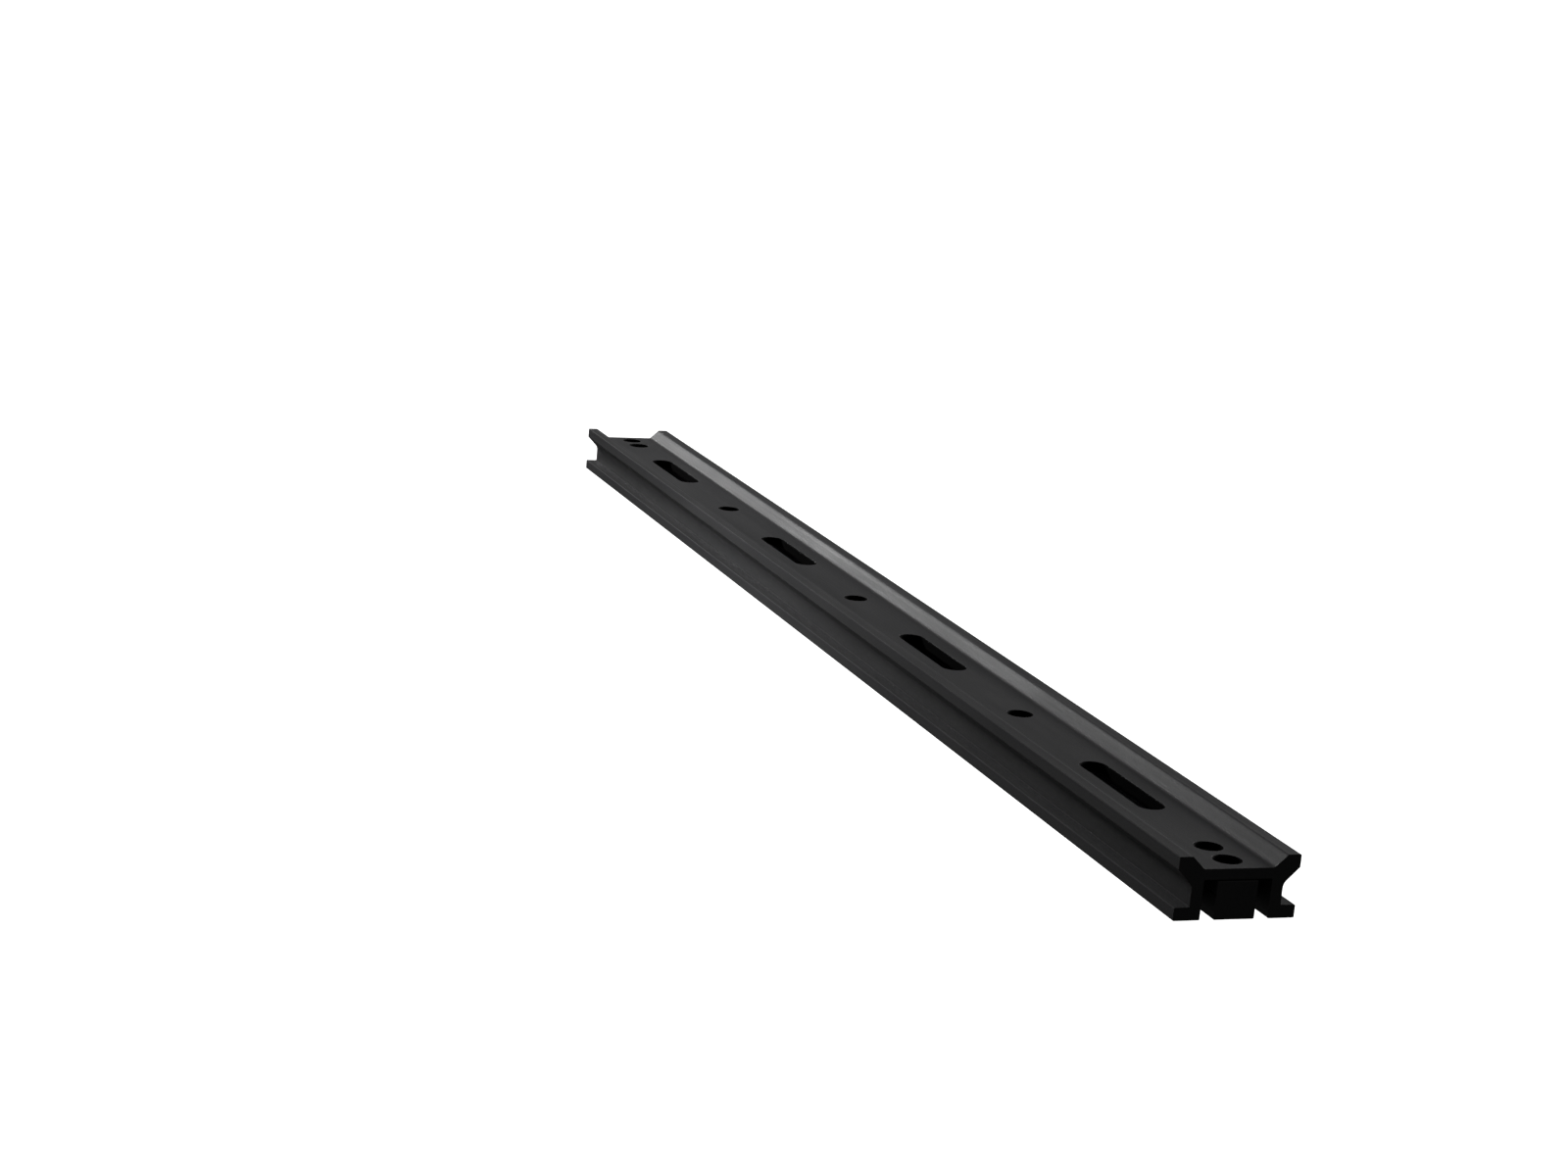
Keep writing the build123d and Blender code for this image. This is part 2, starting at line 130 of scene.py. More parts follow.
def make_world():
    """White behind the object, and a faint fill on it that fades towards the front."""
    world = bpy.data.worlds.new("studio")
    bpy.context.scene.world = world
    world.use_nodes = True
    tree = world.node_tree
    background = tree.nodes["Background"]
    background.inputs["Color"].default_value = WORLD_COLOUR
    direction = tree.nodes.new("ShaderNodeTexCoord").outputs["Generated"]
    split = tree.nodes.new("ShaderNodeSeparateXYZ")
    tree.links.new(direction, split.inputs[0])
    fade = tree.nodes.new("ShaderNodeMapRange")
    fade.inputs["From Min"].default_value = WORLD_FADE_START
    fade.inputs["From Max"].default_value = WORLD_FADE_END
    fade.inputs["To Min"].default_value = WORLD_REAR
    fade.inputs["To Max"].default_value = WORLD_FRONT
    tree.links.new(split.outputs["X"], fade.inputs["Value"])
    seen = tree.nodes.new("ShaderNodeLightPath").outputs["Is Camera Ray"]
    brighter = tree.nodes.new("ShaderNodeMath")
    brighter.operation = "MAXIMUM"
    tree.links.new(fade.outputs["Result"], brighter.inputs[0])
    tree.links.new(seen, brighter.inputs[1])
    tree.links.new(brighter.outputs[0], background.inputs["Strength"])


def make_floor():
    """A pale floor that is seen, but throws no light on the slide."""
    half = FLOOR_SIZE / 2
    corners = [(-half, -half, 0), (half, -half, 0), (half, half, 0), (-half, half, 0)]
    mesh = bpy.data.meshes.new("floor")
    mesh.from_pydata(corners, [], [(0, 1, 2, 3)])
    floor = new_object("floor", mesh)
    material = bpy.data.materials.new("pale_floor")
    material.use_nodes = True
    shader = material.node_tree.nodes["Principled BSDF"]
    shader.inputs["Base Color"].default_value = FLOOR_COLOUR
    shader.inputs["Roughness"].default_value = 1.0
    shader.inputs["Specular IOR Level"].default_value = 0.0
    mesh.materials.append(material)
    floor.visible_glossy = False
    floor.visible_diffuse = False
    return floor


def falls_on(light, things):
    """The light falls on these objects only."""
    group = bpy.data.collections.new(light.name + "_falls_on")
    for thing in things:
        group.objects.link(thing)
    light.light_linking.receiver_collection = group
    return group


def softbox(name, place, size, power):
    """A rectangular soft light aimed at the middle of the slide."""
    data = bpy.data.lights.new(name, "AREA")
    data.shape = "RECTANGLE"
    data.size, data.size_y = size
    data.energy = power
    light = new_object(name, data)
    light.location = place
    light.rotation_mode = "QUATERNION"
    light.rotation_quaternion = (-Vector(place)).to_track_quat("-Z", "Y")
    light.visible_camera = False
    return light


def bare_bulb(name, place, power):
    """A light without size, which can share its place with a softbox. Lights are picked by their
    stated power, and at its true power this one is picked so seldom beside the softbox that its
    sheen comes out patchy. So it states more than it gives, and a node takes the surplus away."""
    data = bpy.data.lights.new(name, "POINT")
    data.energy = power * BULB_OVERSTATED
    data.shadow_soft_size = 0.0
    data.use_nodes = True
    tree = data.node_tree
    falloff = tree.nodes.new("ShaderNodeLightFalloff")
    falloff.inputs["Strength"].default_value = 1.0
    given = tree.nodes.new("ShaderNodeMath")
    given.operation = "DIVIDE"
    given.inputs[1].default_value = BULB_OVERSTATED
    tree.links.new(falloff.outputs["Quadratic"], given.inputs[0])
    tree.links.new(given.outputs[0], tree.nodes["Emission"].inputs["Strength"])
    light = new_object(name, data)
    light.location = place
    return light


def make_floor_wash(floor):
    """Sunlight that whitens the floor. It neither lights the slide nor is blocked by it."""
    data = bpy.data.lights.new("floor_wash", "SUN")
    data.energy = FLOOR_WASH
    data.angle = math.radians(FLOOR_WASH_SPREAD)
    wash = new_object("floor_wash", data)
    wash.light_linking.blocker_collection = falls_on(wash, [floor])


def make_lights(floor, black_parts, bright_parts):
    """The key's soft light and its sheen have the same place but powers of their own."""
    key_soft = softbox("key_soft", *KEY_SOFT)
    key_soft.visible_glossy = False
    key_sheen = bare_bulb("key_sheen", KEY_PLACE, KEY_SHEEN_POWER)
    key_sheen.visible_diffuse = False
    side_glow = softbox("side_glow", *SIDE_GLOW)
    side_glow.visible_glossy = False
    right_fill = softbox("right_fill", *RIGHT_FILL)
    front_fill = softbox("front_fill", *FRONT_FILL)
    for light in (key_soft, key_sheen, side_glow, right_fill, front_fill):
        falls_on(light, black_parts + bright_parts)
    falls_on(softbox("steel_overhead", *STEEL_OVERHEAD), bright_parts)
    falls_on(softbox("steel_left", *STEEL_LEFT), bright_parts)
    make_floor_wash(floor)
    bpy.context.scene.view_settings.view_transform = "Standard"


# ---------------------------------------------------------------- node shortcuts
class Finish:
    """A material being made. Patterns are laid out in the frame's own metres."""

    def __init__(self, name, metallic):
        self.material = bpy.data.materials.new(name)
        self.material.use_nodes = True
        self.tree = self.material.node_tree
        self.shader = self.tree.nodes["Principled BSDF"]
        self.shader.inputs["Metallic"].default_value = metallic
        coordinates = self.node("ShaderNodeTexCoord")
        self.place = coordinates.outputs["Object"]
        self.facing = coordinates.outputs["Normal"]
        self.normal = None

    def node(self, kind, **settings):
        made = self.tree.nodes.new(kind)
        for name, value in settings.items():
            setattr(made, name, value)
        return made

    def feed(self, socket, value):
        """Links an output to a socket, or sets the socket to a plain value."""
        if isinstance(value, bpy.types.NodeSocket):
            self.tree.links.new(value, socket)
        elif isinstance(value, tuple) and len(value) == 3 and len(socket.default_value) == 4:
            socket.default_value = (*value, 1.0)
        else:
            socket.default_value = value

    def stretched(self, x, y, z):
        """The place in metres, times a factor for each axis. A noise of scale 1 laid out on it has
        that many features in a metre of each axis."""
        scale = self.node("ShaderNodeVectorMath", operation="MULTIPLY")
        self.feed(scale.inputs[0], self.place)
        scale.inputs[1].default_value = (x, y, z)
        return scale.outputs[0]

    def noise(self, scale, detail=2.0, vector=None, distortion=0.0):
        """Noise from 0 to 1. The scale is in features for each metre."""
        made = self.node("ShaderNodeTexNoise")
        self.feed(made.inputs["Vector"], self.place if vector is None else vector)
        made.inputs["Scale"].default_value = scale
        made.inputs["Detail"].default_value = detail
        made.inputs["Distortion"].default_value = distortion
        return made.outputs["Fac"]

    def ranged(self, value, low, high, to_low=0.0, to_high=1.0, smooth=False):
        """The value's range low..high carried to to_low..to_high, and held there."""
        made = self.node("ShaderNodeMapRange")
        made.interpolation_type = "SMOOTHSTEP" if smooth else "LINEAR"
        self.feed(made.inputs["Value"], value)
        numbers = (low, high, to_low, to_high)
        for name, number in zip(("From Min", "From Max", "To Min", "To Max"), numbers):
            made.inputs[name].default_value = number
        return made.outputs["Result"]

    def maths(self, operation, first, second=0.0):
        made = self.node("ShaderNodeMath", operation=operation)
        self.feed(made.inputs[0], first)
        self.feed(made.inputs[1], second)
        return made.outputs[0]

    def mixed(self, amount, first, second):
        """A colour between two colours: the first at 0, the second at 1."""
        made = self.node("ShaderNodeMix", data_type="RGBA")
        self.feed(made.inputs["Factor"], amount)
        self.feed(made.inputs[6], first)
        self.feed(made.inputs[7], second)
        return made.outputs[2]

    def axis(self, vector, name):
        """One of a vector's parts: X, Y or Z."""
        split = self.node("ShaderNodeSeparateXYZ")
        self.feed(split.inputs[0], vector)
        return split.outputs[name]

    def colour(self, value):
        self.feed(self.shader.inputs["Base Color"], value)

    def roughness(self, value):
        self.feed(self.shader.inputs["Roughness"], value)

    def bump(self, height, depth):
        """Adds relief: height is 0..1 and depth is in metres."""
        made = self.node("ShaderNodeBump")
        made.inputs["Distance"].default_value = depth
        self.feed(made.inputs["Height"], height)
        if self.normal is not None:
            self.feed(made.inputs["Normal"], self.normal)
        self.normal = made.outputs["Normal"]
        self.feed(self.shader.inputs["Normal"], self.normal)

    def soft_edges(self, radius):
        """Rounds sharp edges in the shading. It goes before any bump."""
        made = self.node("ShaderNodeBevel", samples=4)
        made.inputs["Radius"].default_value = radius
        self.normal = made.outputs["Normal"]
        self.feed(self.shader.inputs["Normal"], self.normal)
        return self.normal

    def edge_share(self, rounded):
        """0 on flat stretches, rising to 1 along sharp edges."""
        true_normal = self.node("ShaderNodeNewGeometry").outputs["Normal"]
        dot = self.node("ShaderNodeVectorMath", operation="DOT_PRODUCT")
        self.feed(dot.inputs[0], rounded)
        self.feed(dot.inputs[1], true_normal)
        return self.ranged(dot.outputs["Value"], 0.98, 0.80)

    def distance_to_line(self, y, z):
        """How far the place is from a line along X, taking both sides of the middle plane as one."""
        folded = self.node("ShaderNodeVectorMath", operation="ABSOLUTE")
        self.feed(folded.inputs[0], self.stretched(0.0, 1.0, 1.0))
        away = self.node("ShaderNodeVectorMath", operation="DISTANCE")
        self.feed(away.inputs[0], folded.outputs[0])
        away.inputs[1].default_value = (0.0, y, z)
        return away.outputs["Value"]

    def near_lines(self, lines, reach):
        """1 on the given lines along X, fading to 0 at the reach."""
        nearest = None
        for y, z in lines:
            distance = self.distance_to_line(y, z)
            nearest = distance if nearest is None else self.maths("MINIMUM", nearest, distance)
        return self.ranged(nearest, 0.0, reach, 1.0, 0.0, smooth=True)


# ---------------------------------------------------------------- finishes
def painted_shade_in_holes(finish):
    """Where shade is painted into the holes: 1 on the walls of the holes along the rail's middle and on
    the web's underside beside them, and 0 on the trough's floor and the rail's ends."""
    across = finish.maths("ABSOLUTE", finish.axis(finish.place, "Y"))
    along = finish.maths("ABSOLUTE", finish.axis(finish.place, "X"))
    height = finish.axis(finish.place, "Z")
    # Painted shade: this mask marks where the holes are darkened to stand in for the shade inside them.
    hole_shade = finish.ranged(across, HOLE_REACH_Y, HOLE_REACH_Y - 0.05 * MM)
    below_rims = finish.ranged(height, TROUGH_FLOOR_Z - 0.01 * MM, TROUGH_FLOOR_Z - 0.03 * MM)
    hole_shade = finish.maths("MULTIPLY", hole_shade, below_rims)
    above_bar = finish.ranged(height, WEB_UNDERSIDE_Z - 0.05 * MM, WEB_UNDERSIDE_Z)
    hole_shade = finish.maths("MULTIPLY", hole_shade, above_bar)
    off_ends = finish.ranged(along, RAIL_HALF_LENGTH - 1.0 * MM, RAIL_HALF_LENGTH - 1.5 * MM)
    return finish.maths("MULTIPLY", hole_shade, off_ends)


def saw_marks(finish):
    """Arcs left by the saw on the faces that look along the slide."""
    sawn = finish.ranged(finish.maths("ABSOLUTE", finish.axis(finish.facing, "X")), 0.90, 0.97)
    arcs = finish.node("ShaderNodeTexWave", wave_type="RINGS", rings_direction="X")
    finish.feed(arcs.inputs["Vector"], finish.stretched(0.0, 1.0, 0.35))
    arcs.inputs["Scale"].default_value = 420.0
    arcs.inputs["Distortion"].default_value = 3.0
    return finish.maths("MULTIPLY", arcs.outputs["Fac"], sawn)


def anodised(name, edge_lines, corner_lines=(), pierced=False):
    """Satin black anodising over blasted, extruded aluminium. It is rubbed a little along its outer
    edges, and duller on those and on its inner corners. Where it is pierced, shade is painted into
    the holes: their walls and the web's underside beside them are a near-black metal that hardly
    reflects, standing in for the shade inside them."""
    dark, pale = (0.0165, 0.0165, 0.0172), (0.0235, 0.0233, 0.0238)
    line_grey = (0.034, 0.034, 0.035)
    grain_grey = (0.042, 0.042, 0.044)
    pit_black = (0.010, 0.010, 0.0105)
    # Painted shade: the near-black colour that stands in for the shade inside the holes.
    hole_shade_black = (0.0022, 0.0022, 0.0022)
    rubbed_grey = (0.06, 0.06, 0.062)
    finish = Finish(name, metallic=0.0)
    grain = finish.noise(5200.0)
    coarse_grain = finish.noise(1900.0)
    drawn_lines = finish.noise(1.0, detail=3.0, vector=finish.stretched(5.0, 1500.0, 1500.0))
    handled = finish.noise(1.0, detail=4.0, vector=finish.stretched(14.0, 60.0, 60.0), distortion=0.6)
    rubbed = finish.near_lines(edge_lines, 0.40 * MM)
    worn_patches = finish.noise(1.0, detail=4.0, vector=finish.stretched(90.0, 700.0, 700.0))
    rubbed = finish.maths("MULTIPLY", rubbed, finish.ranged(worn_patches, 0.46, 0.68))
    # Painted shade: the mask of the holes' walls and the web's underside beside them.
    hole_shade = painted_shade_in_holes(finish) if pierced else None

    tone = finish.mixed(finish.ranged(handled, 0.3, 0.7), dark, pale)
    tone = finish.mixed(finish.ranged(drawn_lines, 0.45, 0.75, 0.0, 0.35), tone, line_grey)
    tone = finish.mixed(finish.ranged(grain, 0.55, 0.75, 0.0, 0.5), tone, grain_grey)
    tone = finish.mixed(finish.ranged(coarse_grain, 0.45, 0.25, 0.0, 0.5), tone, pit_black)
    # Painted shade in the holes: their colour goes near black.
    if pierced:
        tone = finish.mixed(hole_shade, tone, hole_shade_black)
    finish.colour(finish.mixed(finish.maths("MULTIPLY", rubbed, 0.2), tone, rubbed_grey))

    satin = finish.ranged(handled, 0.3, 0.7, 0.46, 0.53)
    satin = finish.maths("ADD", satin, finish.ranged(drawn_lines, 0.3, 0.7, -0.035, 0.035))
    satin = finish.maths("ADD", satin, finish.ranged(coarse_grain, 0.3, 0.7, -0.045, 0.045))
    dull = finish.near_lines([*edge_lines, *corner_lines], 0.60 * MM)
    satin = finish.maths("ADD", satin, finish.maths("MULTIPLY", dull, 0.35))
    # Painted shade in the holes: a near-black metal that reflects little, and rougher, so the holes stay
    # dark.
    if pierced:
        finish.feed(finish.shader.inputs["Metallic"], hole_shade)
        satin = finish.maths("ADD", satin, finish.maths("MULTIPLY", hole_shade, 0.4))
    finish.roughness(finish.maths("SUBTRACT", satin, finish.maths("MULTIPLY", rubbed, 0.04)))

    finish.bump(coarse_grain, depth=0.016 * MM)
    finish.bump(grain, depth=0.010 * MM)
    finish.bump(drawn_lines, depth=0.012 * MM)
    finish.bump(saw_marks(finish), depth=0.012 * MM)
    return finish.material


def ground_steel(name):
    """Hardened race rod: lengthwise grinding lines and a brighter track where the balls roll."""
    bright, stained = (0.50, 0.50, 0.51), (0.36, 0.35, 0.34)
    line_bright, track_bright = (0.62, 0.62, 0.63), (0.68, 0.68, 0.69)
    finish = Finish(name, metallic=1.0)
    lines = finish.noise(1.0, detail=4.0, vector=finish.stretched(12.0, 5000.0, 5000.0))
    stains = finish.noise(1.0, detail=3.0, vector=finish.stretched(35.0, 300.0, 300.0), distortion=0.8)
    steel = finish.mixed(finish.ranged(stains, 0.35, 0.70), bright, stained)
    steel = finish.mixed(finish.ranged(lines, 0.40, 0.70, 0.0, 0.4), steel, line_bright)
    track = finish.ranged(
        finish.distance_to_line(RACE_Y, RACE_Z),
        BALL_RADIUS + 0.05 * MM, BALL_RADIUS + 0.20 * MM, 1.0, 0.0, smooth=True,
    )
    finish.colour(finish.mixed(track, steel, track_bright))
    rough = finish.ranged(lines, 0.3, 0.7, 0.24, 0.36)
    finish.roughness(finish.maths("SUBTRACT", rough, finish.maths("MULTIPLY", track, 0.12)))
    finish.bump(lines, depth=0.003 * MM)
    return finish.material


def polished_steel(name):
    """Bearing balls: bright, with faint lapping marks and a thin film of oil here and there."""
    clean, oily = (0.64, 0.65, 0.66), (0.56, 0.55, 0.52)
    finish = Finish(name, metallic=1.0)
    marks = finish.noise(2200.0, detail=6.0, distortion=1.5)
    film = finish.noise(420.0)
    finish.colour(finish.mixed(finish.ranged(film, 0.40, 0.65), clean, oily))
    rough = finish.ranged(marks, 0.35, 0.70, 0.07, 0.16)
    finish.roughness(finish.maths("ADD", rough, finish.ranged(film, 0.4, 0.7, 0.0, 0.06)))
    finish.bump(marks, depth=0.0006 * MM)
    return finish.material


def acetal(name):
    """Moulded black acetal: fine spark-eroded texture, cloudy gloss and slightly paler edges."""
    dark, pale, edge_grey = (0.017, 0.017, 0.018), (0.026, 0.026, 0.027), (0.05, 0.05, 0.052)
    finish = Finish(name, metallic=0.0)
    rounded = finish.soft_edges(0.12 * MM)
    texture = finish.noise(3800.0, detail=3.0)
    flow = finish.noise(1.0, detail=3.0, vector=finish.stretched(90.0, 260.0, 160.0), distortion=1.2)
    tone = finish.mixed(finish.ranged(flow, 0.35, 0.65), dark, pale)
    edges = finish.maths("MULTIPLY", finish.edge_share(rounded), 0.5)
    finish.colour(finish.mixed(edges, tone, edge_grey))
    rough = finish.ranged(flow, 0.3, 0.7, 0.38, 0.50)
    finish.roughness(finish.maths("ADD", rough, finish.ranged(texture, 0.4, 0.6, -0.04, 0.04)))
    finish.bump(texture, depth=0.008 * MM)
    return finish.material


def rubber(name):
    """Matt black rubber with a dusty bloom and a pitted skin."""
    black, dusty, edge_grey = (0.012, 0.012, 0.012), (0.040, 0.039, 0.037), (0.05, 0.05, 0.048)
    finish = Finish(name, metallic=0.0)
    rounded = finish.soft_edges(0.15 * MM)
    bloom = finish.noise(700.0, detail=5.0, distortion=0.5)
    pits = finish.noise(2600.0, detail=3.0)
    tone = finish.mixed(finish.ranged(bloom, 0.42, 0.72), black, dusty)
    edges = finish.maths("MULTIPLY", finish.edge_share(rounded), 0.4)
    finish.colour(finish.mixed(edges, tone, edge_grey))
    finish.roughness(finish.ranged(pits, 0.3, 0.7, 0.72, 0.92))
    finish.bump(pits, depth=0.02 * MM)
    return finish.material


def black_zinc(name, rubbed_above=None):
    """Black zinc plate over pressed or turned steel, rubbed bright on its sharpest edges."""
    black, grey, olive = (0.040, 0.040, 0.043), (0.060, 0.059, 0.060), (0.052, 0.054, 0.044)
    bare_steel = (0.30, 0.30, 0.31)
    finish = Finish(name, metallic=0.85)
    rounded = finish.soft_edges(0.08 * MM)
    clouds = finish.noise(900.0, detail=4.0, distortion=0.6)
    tint = finish.noise(240.0)
    press_marks = finish.noise(1.0, detail=4.0, vector=finish.stretched(160.0, 2600.0, 900.0))
    plate = finish.mixed(finish.ranged(clouds, 0.35, 0.65), black, grey)
    plate = finish.mixed(finish.ranged(tint, 0.45, 0.70, 0.0, 0.6), plate, olive)
    broken = finish.ranged(finish.noise(900.0, detail=3.0), 0.40, 0.60)
    bare = finish.maths("MULTIPLY", finish.edge_share(rounded), broken)
    if rubbed_above is not None:
        height = finish.axis(finish.place, "Z")
        thumbed = finish.ranged(height, rubbed_above, rubbed_above + 0.1 * MM)
        bare = finish.maths("MAXIMUM", bare, finish.maths("MULTIPLY", thumbed, broken))
    finish.colour(finish.mixed(bare, plate, bare_steel))
    rough = finish.ranged(clouds, 0.3, 0.7, 0.30, 0.44)
    finish.roughness(finish.maths("SUBTRACT", rough, finish.maths("MULTIPLY", bare, 0.06)))
    finish.bump(press_marks, depth=0.004 * MM)
    finish.bump(clouds, depth=0.006 * MM)
    return finish.material


def spring_steel(name, heated_from, heated_to):
    """Bright rolled strip: lengthwise lines, and a straw tint where its eye was rolled hot."""
    dark, bright, straw = (0.30, 0.30, 0.31), (0.52, 0.52, 0.53), (0.34, 0.24, 0.12)
    finish = Finish(name, metallic=1.0)
    lines = finish.noise(1.0, detail=4.0, vector=finish.stretched(60.0, 60.0, 7000.0))
    stains = finish.noise(900.0, detail=3.0)
    steel = finish.mixed(finish.ranged(lines, 0.3, 0.7), dark, bright)
    heat = finish.ranged(finish.axis(finish.place, "X"), heated_from, heated_to, smooth=True)
    heat = finish.maths("MULTIPLY", heat, finish.ranged(stains, 0.3, 0.6))
    finish.colour(finish.mixed(finish.maths("MULTIPLY", heat, 0.7), steel, straw))
    finish.roughness(finish.ranged(lines, 0.3, 0.7, 0.18, 0.32))
    finish.bump(lines, depth=0.002 * MM)
    return finish.material


# ---------------------------------------------------------------- meshes
def swept(path, sideways, section):
    """Vertices and faces of a section carried along a path. Each path point has its own sideways
    vector, and the section's points are (sideways, up) offsets."""
    up = Vector((0, 0, 1))
    vertices = []
    for point, side in zip(path, sideways):
        vertices += [point + side * across + up * above for across, above in section]
    count = len(section)
    faces = []
    for step in range(len(path) - 1):
        for corner in range(count):
            following = (corner + 1) % count
            first, second = step * count + corner, step * count + following
            faces.append((first, second, second + count, first + count))
    faces.append(tuple(reversed(range(count))))
    last = (len(path) - 1) * count
    faces.append(tuple(range(last, last + count)))
    return vertices, faces


def outward_mesh(name, vertices, faces):
    """A mesh whose faces all point outwards."""
    mesh = bpy.data.meshes.new(name)
    mesh.from_pydata(vertices, [], faces)
    shell = bmesh.new()
    shell.from_mesh(mesh)
    bmesh.ops.recalc_face_normals(shell, faces=shell.faces)
    shell.to_mesh(mesh)
    shell.free()
    return mesh


def path_sides(path):
    """The sideways vector at each point of a flat path."""
    sides = []
    for index, point in enumerate(path):
        before = path[max(index - 1, 0)]
        after = path[min(index + 1, len(path) - 1)]
        along = (after - before).normalized()
        sides.append(Vector((-along.y, along.x, 0)))
    return sides


def rounded_strip(thickness, height, corner):
    """A strip's section with its four corners cut."""
    half, top = thickness / 2, height / 2
    return [
        (-half, -top + corner), (-half + corner, -top), (half - corner, -top), (half, -top + corner),
        (half, top - corner), (half - corner, top), (-half + corner, top), (-half, top - corner),
    ]


def arc(centre, radius, start, end, steps):
    """Points of an arc from one angle to another, in degrees, both included."""
    points = []
    for step in range(steps + 1):
        angle = math.radians(start + (end - start) * step / steps)
        points.append(centre + Vector((radius * math.cos(angle), radius * math.sin(angle), 0)))
    return points


def bezier(start, leaving, arriving, end, steps):
    """Points of a cubic curve, without its two ends."""
    points = []
    for step in range(1, steps):
        t = step / steps
        rest = 1 - t
        points.append(
            start * rest**3 + leaving * 3 * rest**2 * t + arriving * 3 * rest * t**2 + end * t**3
        )
    return points


# ---------------------------------------------------------------- the lever's leaf spring
SPRING_THICKNESS = 0.3 * MM
SPRING_EYE_RADIUS = 0.68 * MM
SPRING_POST_RADIUS = 0.8 * MM
EYE_START, EYE_END = -245.0, 83.0
SPRING_EDGE_CUT = 0.05 * MM
TIP_BEND_RADIUS = 0.9 * MM
TIP_BEND_ANGLE = 55.0
EYE_STEPS, RUN_STEPS, TIP_STEPS = 40, 24, 10


def make_leaf_spring(material):
    """A rolled strip: an eye round its post, a bowed run, and a tip that rolls on the lever's arm."""
    middle_z = (SPRING_LOW.z + SPRING_HIGH.z) / 2
    eye = Vector((SPRING_HIGH.x - SPRING_POST_RADIUS, SPRING_LOW.y + SPRING_POST_RADIUS, middle_z))
    tip = Vector((SPRING_LOW.x, SPRING_HIGH.y - SPRING_THICKNESS / 2, middle_z))
    path = arc(eye, SPRING_EYE_RADIUS, EYE_START, EYE_END, EYE_STEPS)
    leaving = Vector((-math.sin(math.radians(EYE_END)), math.cos(math.radians(EYE_END)), 0))
    third = (tip - path[-1]).length / 3
    path += bezier(path[-1], path[-1] + leaving * third, tip + Vector((third, 0, 0)), tip, RUN_STEPS)
    bend_centre = tip - Vector((0, TIP_BEND_RADIUS, 0))
    path += arc(bend_centre, TIP_BEND_RADIUS, 90, 90 + TIP_BEND_ANGLE, TIP_STEPS)
    section = rounded_strip(SPRING_THICKNESS, SPRING_HIGH.z - SPRING_LOW.z, SPRING_EDGE_CUT)
    vertices, faces = swept(path, path_sides(path), section)
    mesh = outward_mesh("leaf_spring", vertices, faces)
    mesh.materials.append(material)
    spring = new_object("leaf_spring", mesh)
    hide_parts("lever_spring")
    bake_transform(spring)
    return spring


# ---------------------------------------------------------------- threads of the drawer screws
TAPPED_HOLE_X = (-200 * MM, -50 * MM, 50 * MM, 200 * MM)
TAPPED_RADIUS = 2.1 * MM
THREAD_PITCH = 0.8 * MM
THREAD_DEPTH = 0.18 * MM
THREAD_INSET = 0.55 * MM
THREAD_HALF_BASE = 0.42 * THREAD_PITCH
THREAD_HALF_CREST = 0.06 * MM
THREAD_ROOT = 0.03 * MM
STEPS_PER_TURN = 36


def make_threads(material):
    """A screw thread's ridge in each tapped hole of the drawer member."""
    bottom, top = BAR_LOW.z + THREAD_INSET, BAR_HIGH.z - THREAD_INSET
    turns = (top - bottom) / THREAD_PITCH
    steps = round(turns * STEPS_PER_TURN)
    section = [
        (THREAD_ROOT, -THREAD_HALF_BASE), (THREAD_ROOT, THREAD_HALF_BASE),
        (-THREAD_DEPTH, THREAD_HALF_CREST), (-THREAD_DEPTH, -THREAD_HALF_CREST),
    ]
    vertices, faces = [], []
    for x in TAPPED_HOLE_X:
        path, sides = [], []
        for step in range(steps + 1):
            angle = 2 * math.pi * step / STEPS_PER_TURN
            side = Vector((math.cos(angle), math.sin(angle), 0))
            height = bottom + (top - bottom) * step / steps
            path.append(Vector((x, 0, height)) + side * TAPPED_RADIUS)
            sides.append(side)
        ridge_vertices, ridge_faces = swept(path, sides, section)
        first = len(vertices)
        vertices += ridge_vertices
        faces += [tuple(first + corner for corner in face) for face in ridge_faces]
    mesh = outward_mesh("drawer_hole_threads", vertices, faces)
    mesh.materials.append(material)
    threads = new_object("drawer_hole_threads", mesh)
    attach(threads, "drawer_member")
    return threads


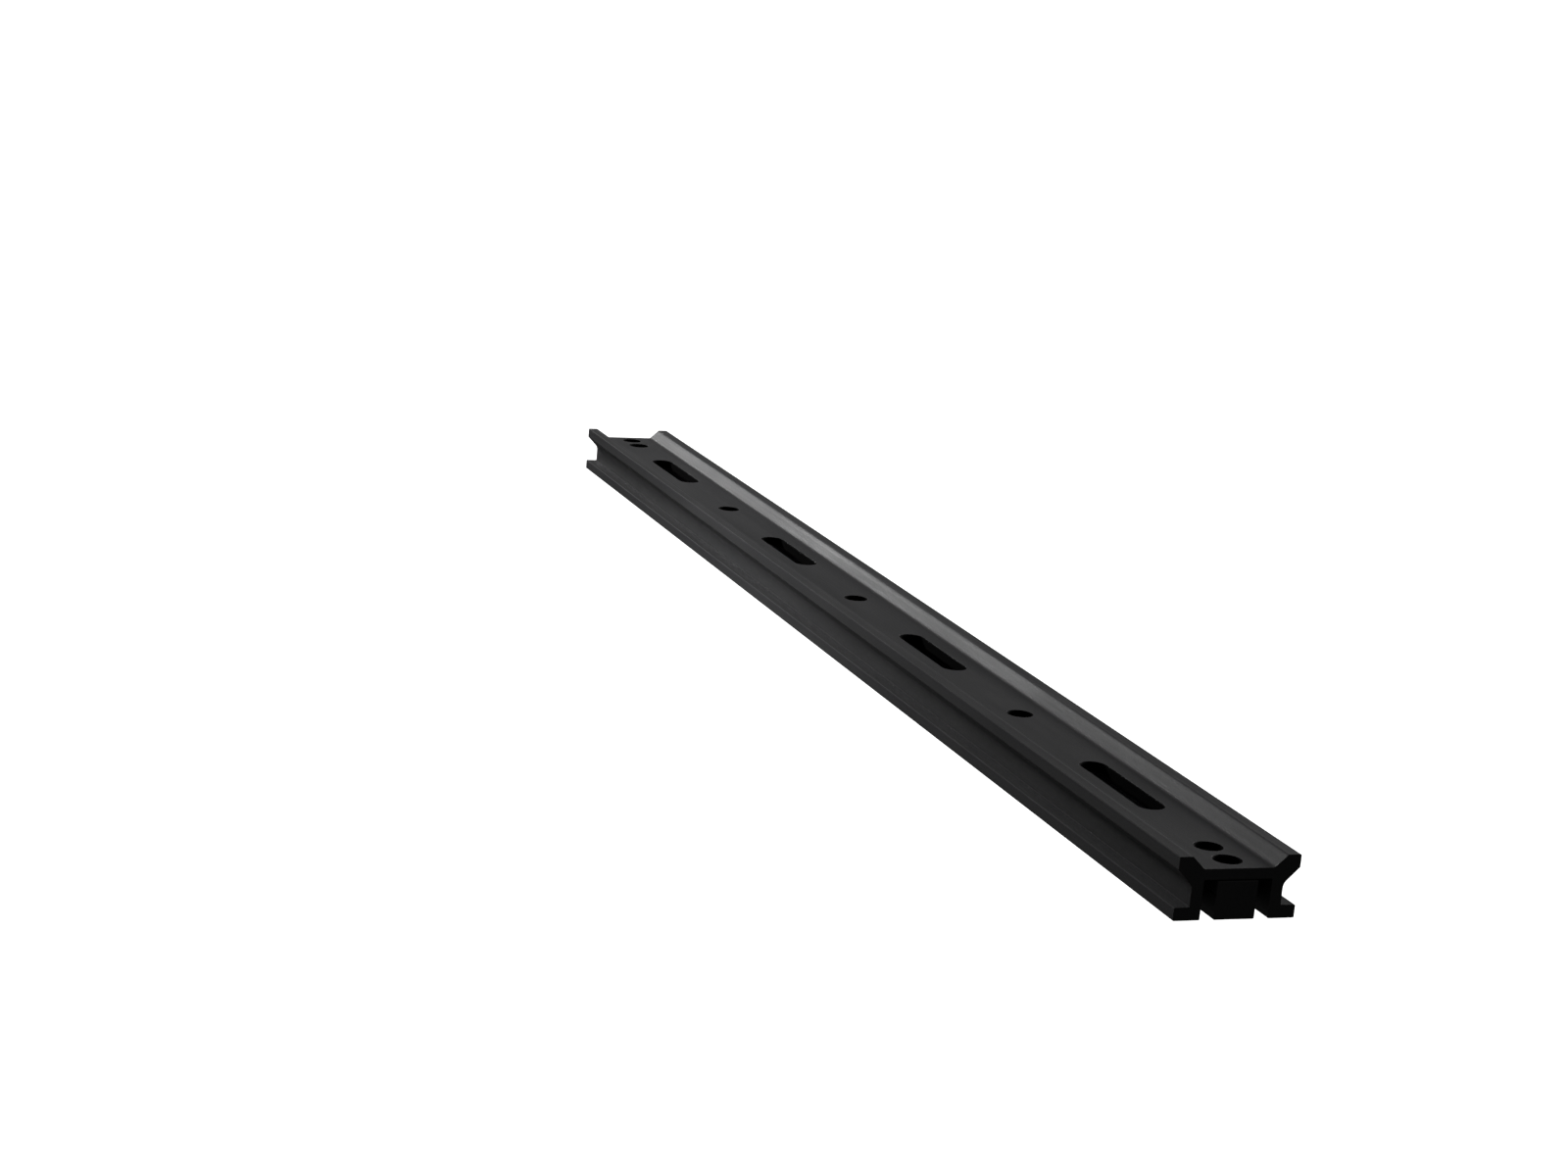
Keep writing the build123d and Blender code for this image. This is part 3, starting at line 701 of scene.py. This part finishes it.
# ---------------------------------------------------------------- dressing the frame's nodes
# Edges that run along the slide, as (distance from the middle plane, height).
CABINET_EDGES = [
    (RAIL_HALF_WIDTH, RAIL_HEIGHT),
    (LIP_INNER_Y, RAIL_HEIGHT),
    (RAIL_HALF_WIDTH, LIP_FACE_BOTTOM_Z),
    (RAIL_HALF_WIDTH, FOOT_THICKNESS),
    (RAIL_HALF_WIDTH, 0.0),
]
CABINET_CORNERS = [(NECK_Y, FOOT_THICKNESS)]
BAR_EDGES = [(BAR_HIGH.y, BAR_HIGH.z), (BAR_HIGH.y, 0.0)]


def dress_nodes():
    """Gives every node of the frame its finish. Returns the finishes by name."""
    finishes = {
        "cabinet_anodised": anodised("cabinet_anodised", CABINET_EDGES, CABINET_CORNERS, pierced=True),
        "bar_anodised": anodised("bar_anodised", BAR_EDGES),
        "race_steel": ground_steel("race_steel"),
        "ball_steel": polished_steel("ball_steel"),
        "acetal": acetal("acetal"),
        "rubber": rubber("rubber"),
        "zinc": black_zinc("zinc"),
        "lever_zinc": black_zinc("lever_zinc", rubbed_above=LEVER_TOP - 0.15 * MM),
        "spring_steel": spring_steel("spring_steel", SPRING_HIGH.x - 3.5 * MM, SPRING_HIGH.x - 1.0 * MM),
    }
    worn_by = {
        "cabinet_rail": "cabinet_anodised",
        "drawer_rail": "bar_anodised",
        "nose_block": "bar_anodised",
        "front_stop": "acetal",
        "rear_stop": "acetal",
        "rear_bumper": "rubber",
        "nose_screws": "zinc",
        "end_plate": "zinc",
        "end_plate_screws": "zinc",
        "lever_pivot_pin": "zinc",
        "lever_posts": "zinc",
        "release_lever": "lever_zinc",
        "lever_spring": "spring_steel",
    }
    for side in ("left", "right"):
        worn_by[f"cabinet_race_rods_{side}"] = "race_steel"
        worn_by[f"drawer_race_rods_{side}"] = "race_steel"
        worn_by[f"ball_cage_{side}"] = "acetal"
        worn_by[f"balls_{side}"] = "ball_steel"
    for name, finish in worn_by.items():
        for slot in frame["nodes"][name].material_slots:
            slot.material = finishes[finish]
    return finishes


finishes = dress_nodes()
leaf_spring = make_leaf_spring(finishes["spring_steel"])
threads = make_threads(finishes["bar_anodised"])

slot_of = {row["node"]: row["material_slot"] for row in frame["record"]["subparts"]}
black_parts = [node for name, node in frame["nodes"].items() if slot_of[name] in BLACK_SLOTS]
bright_parts = [node for name, node in frame["nodes"].items() if slot_of[name] not in BLACK_SLOTS]
black_parts.append(threads)
bright_parts.append(leaf_spring)
make_camera()
make_world()
make_lights(make_floor(), black_parts, bright_parts)
